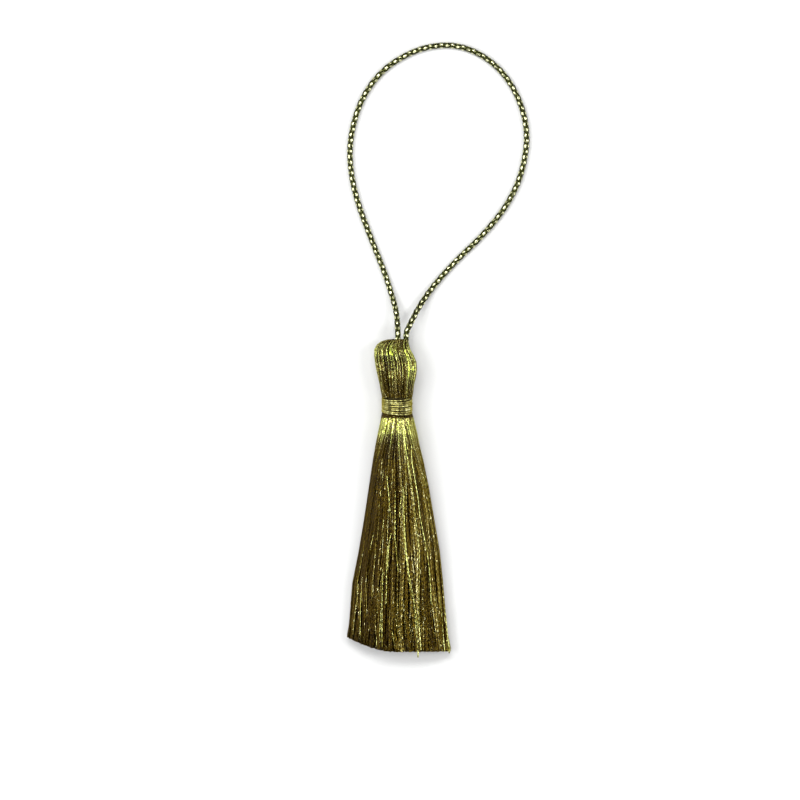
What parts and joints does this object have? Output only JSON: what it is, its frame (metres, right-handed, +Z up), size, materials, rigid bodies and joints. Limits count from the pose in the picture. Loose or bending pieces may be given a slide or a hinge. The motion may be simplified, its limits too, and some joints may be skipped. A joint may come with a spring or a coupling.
{
  "type": "thread tassel with hanging loop",
  "caption": "Metallic thread tassel with a round head, a wound neck and a cut skirt, on a loop of fine braided cord; it lies flat.",
  "frame": {"origin": "on the surface, under the middle of the tassel's body (head, neck and skirt), the loop not counted", "axes": "+Y along the tassel from the cut ends to the head and on to the loop, +Z up from the surface that it lies on, +X to the right seen from above"},
  "size_m": [0.0457, 0.1524, 0.0098],
  "materials": {
    "yarn": "olive gold metallic yarn, fine glittering threads with dark gaps",
    "binding_thread": "olive gold metallic thread, wound closely",
    "cord": "braided gold and olive metallic cord"
  },
  "bodies": {
    "root": {"skein": "yarn", "neck_binding": "binding_thread", "hanging_loop": "cord"}
  },
  "joints": []
}
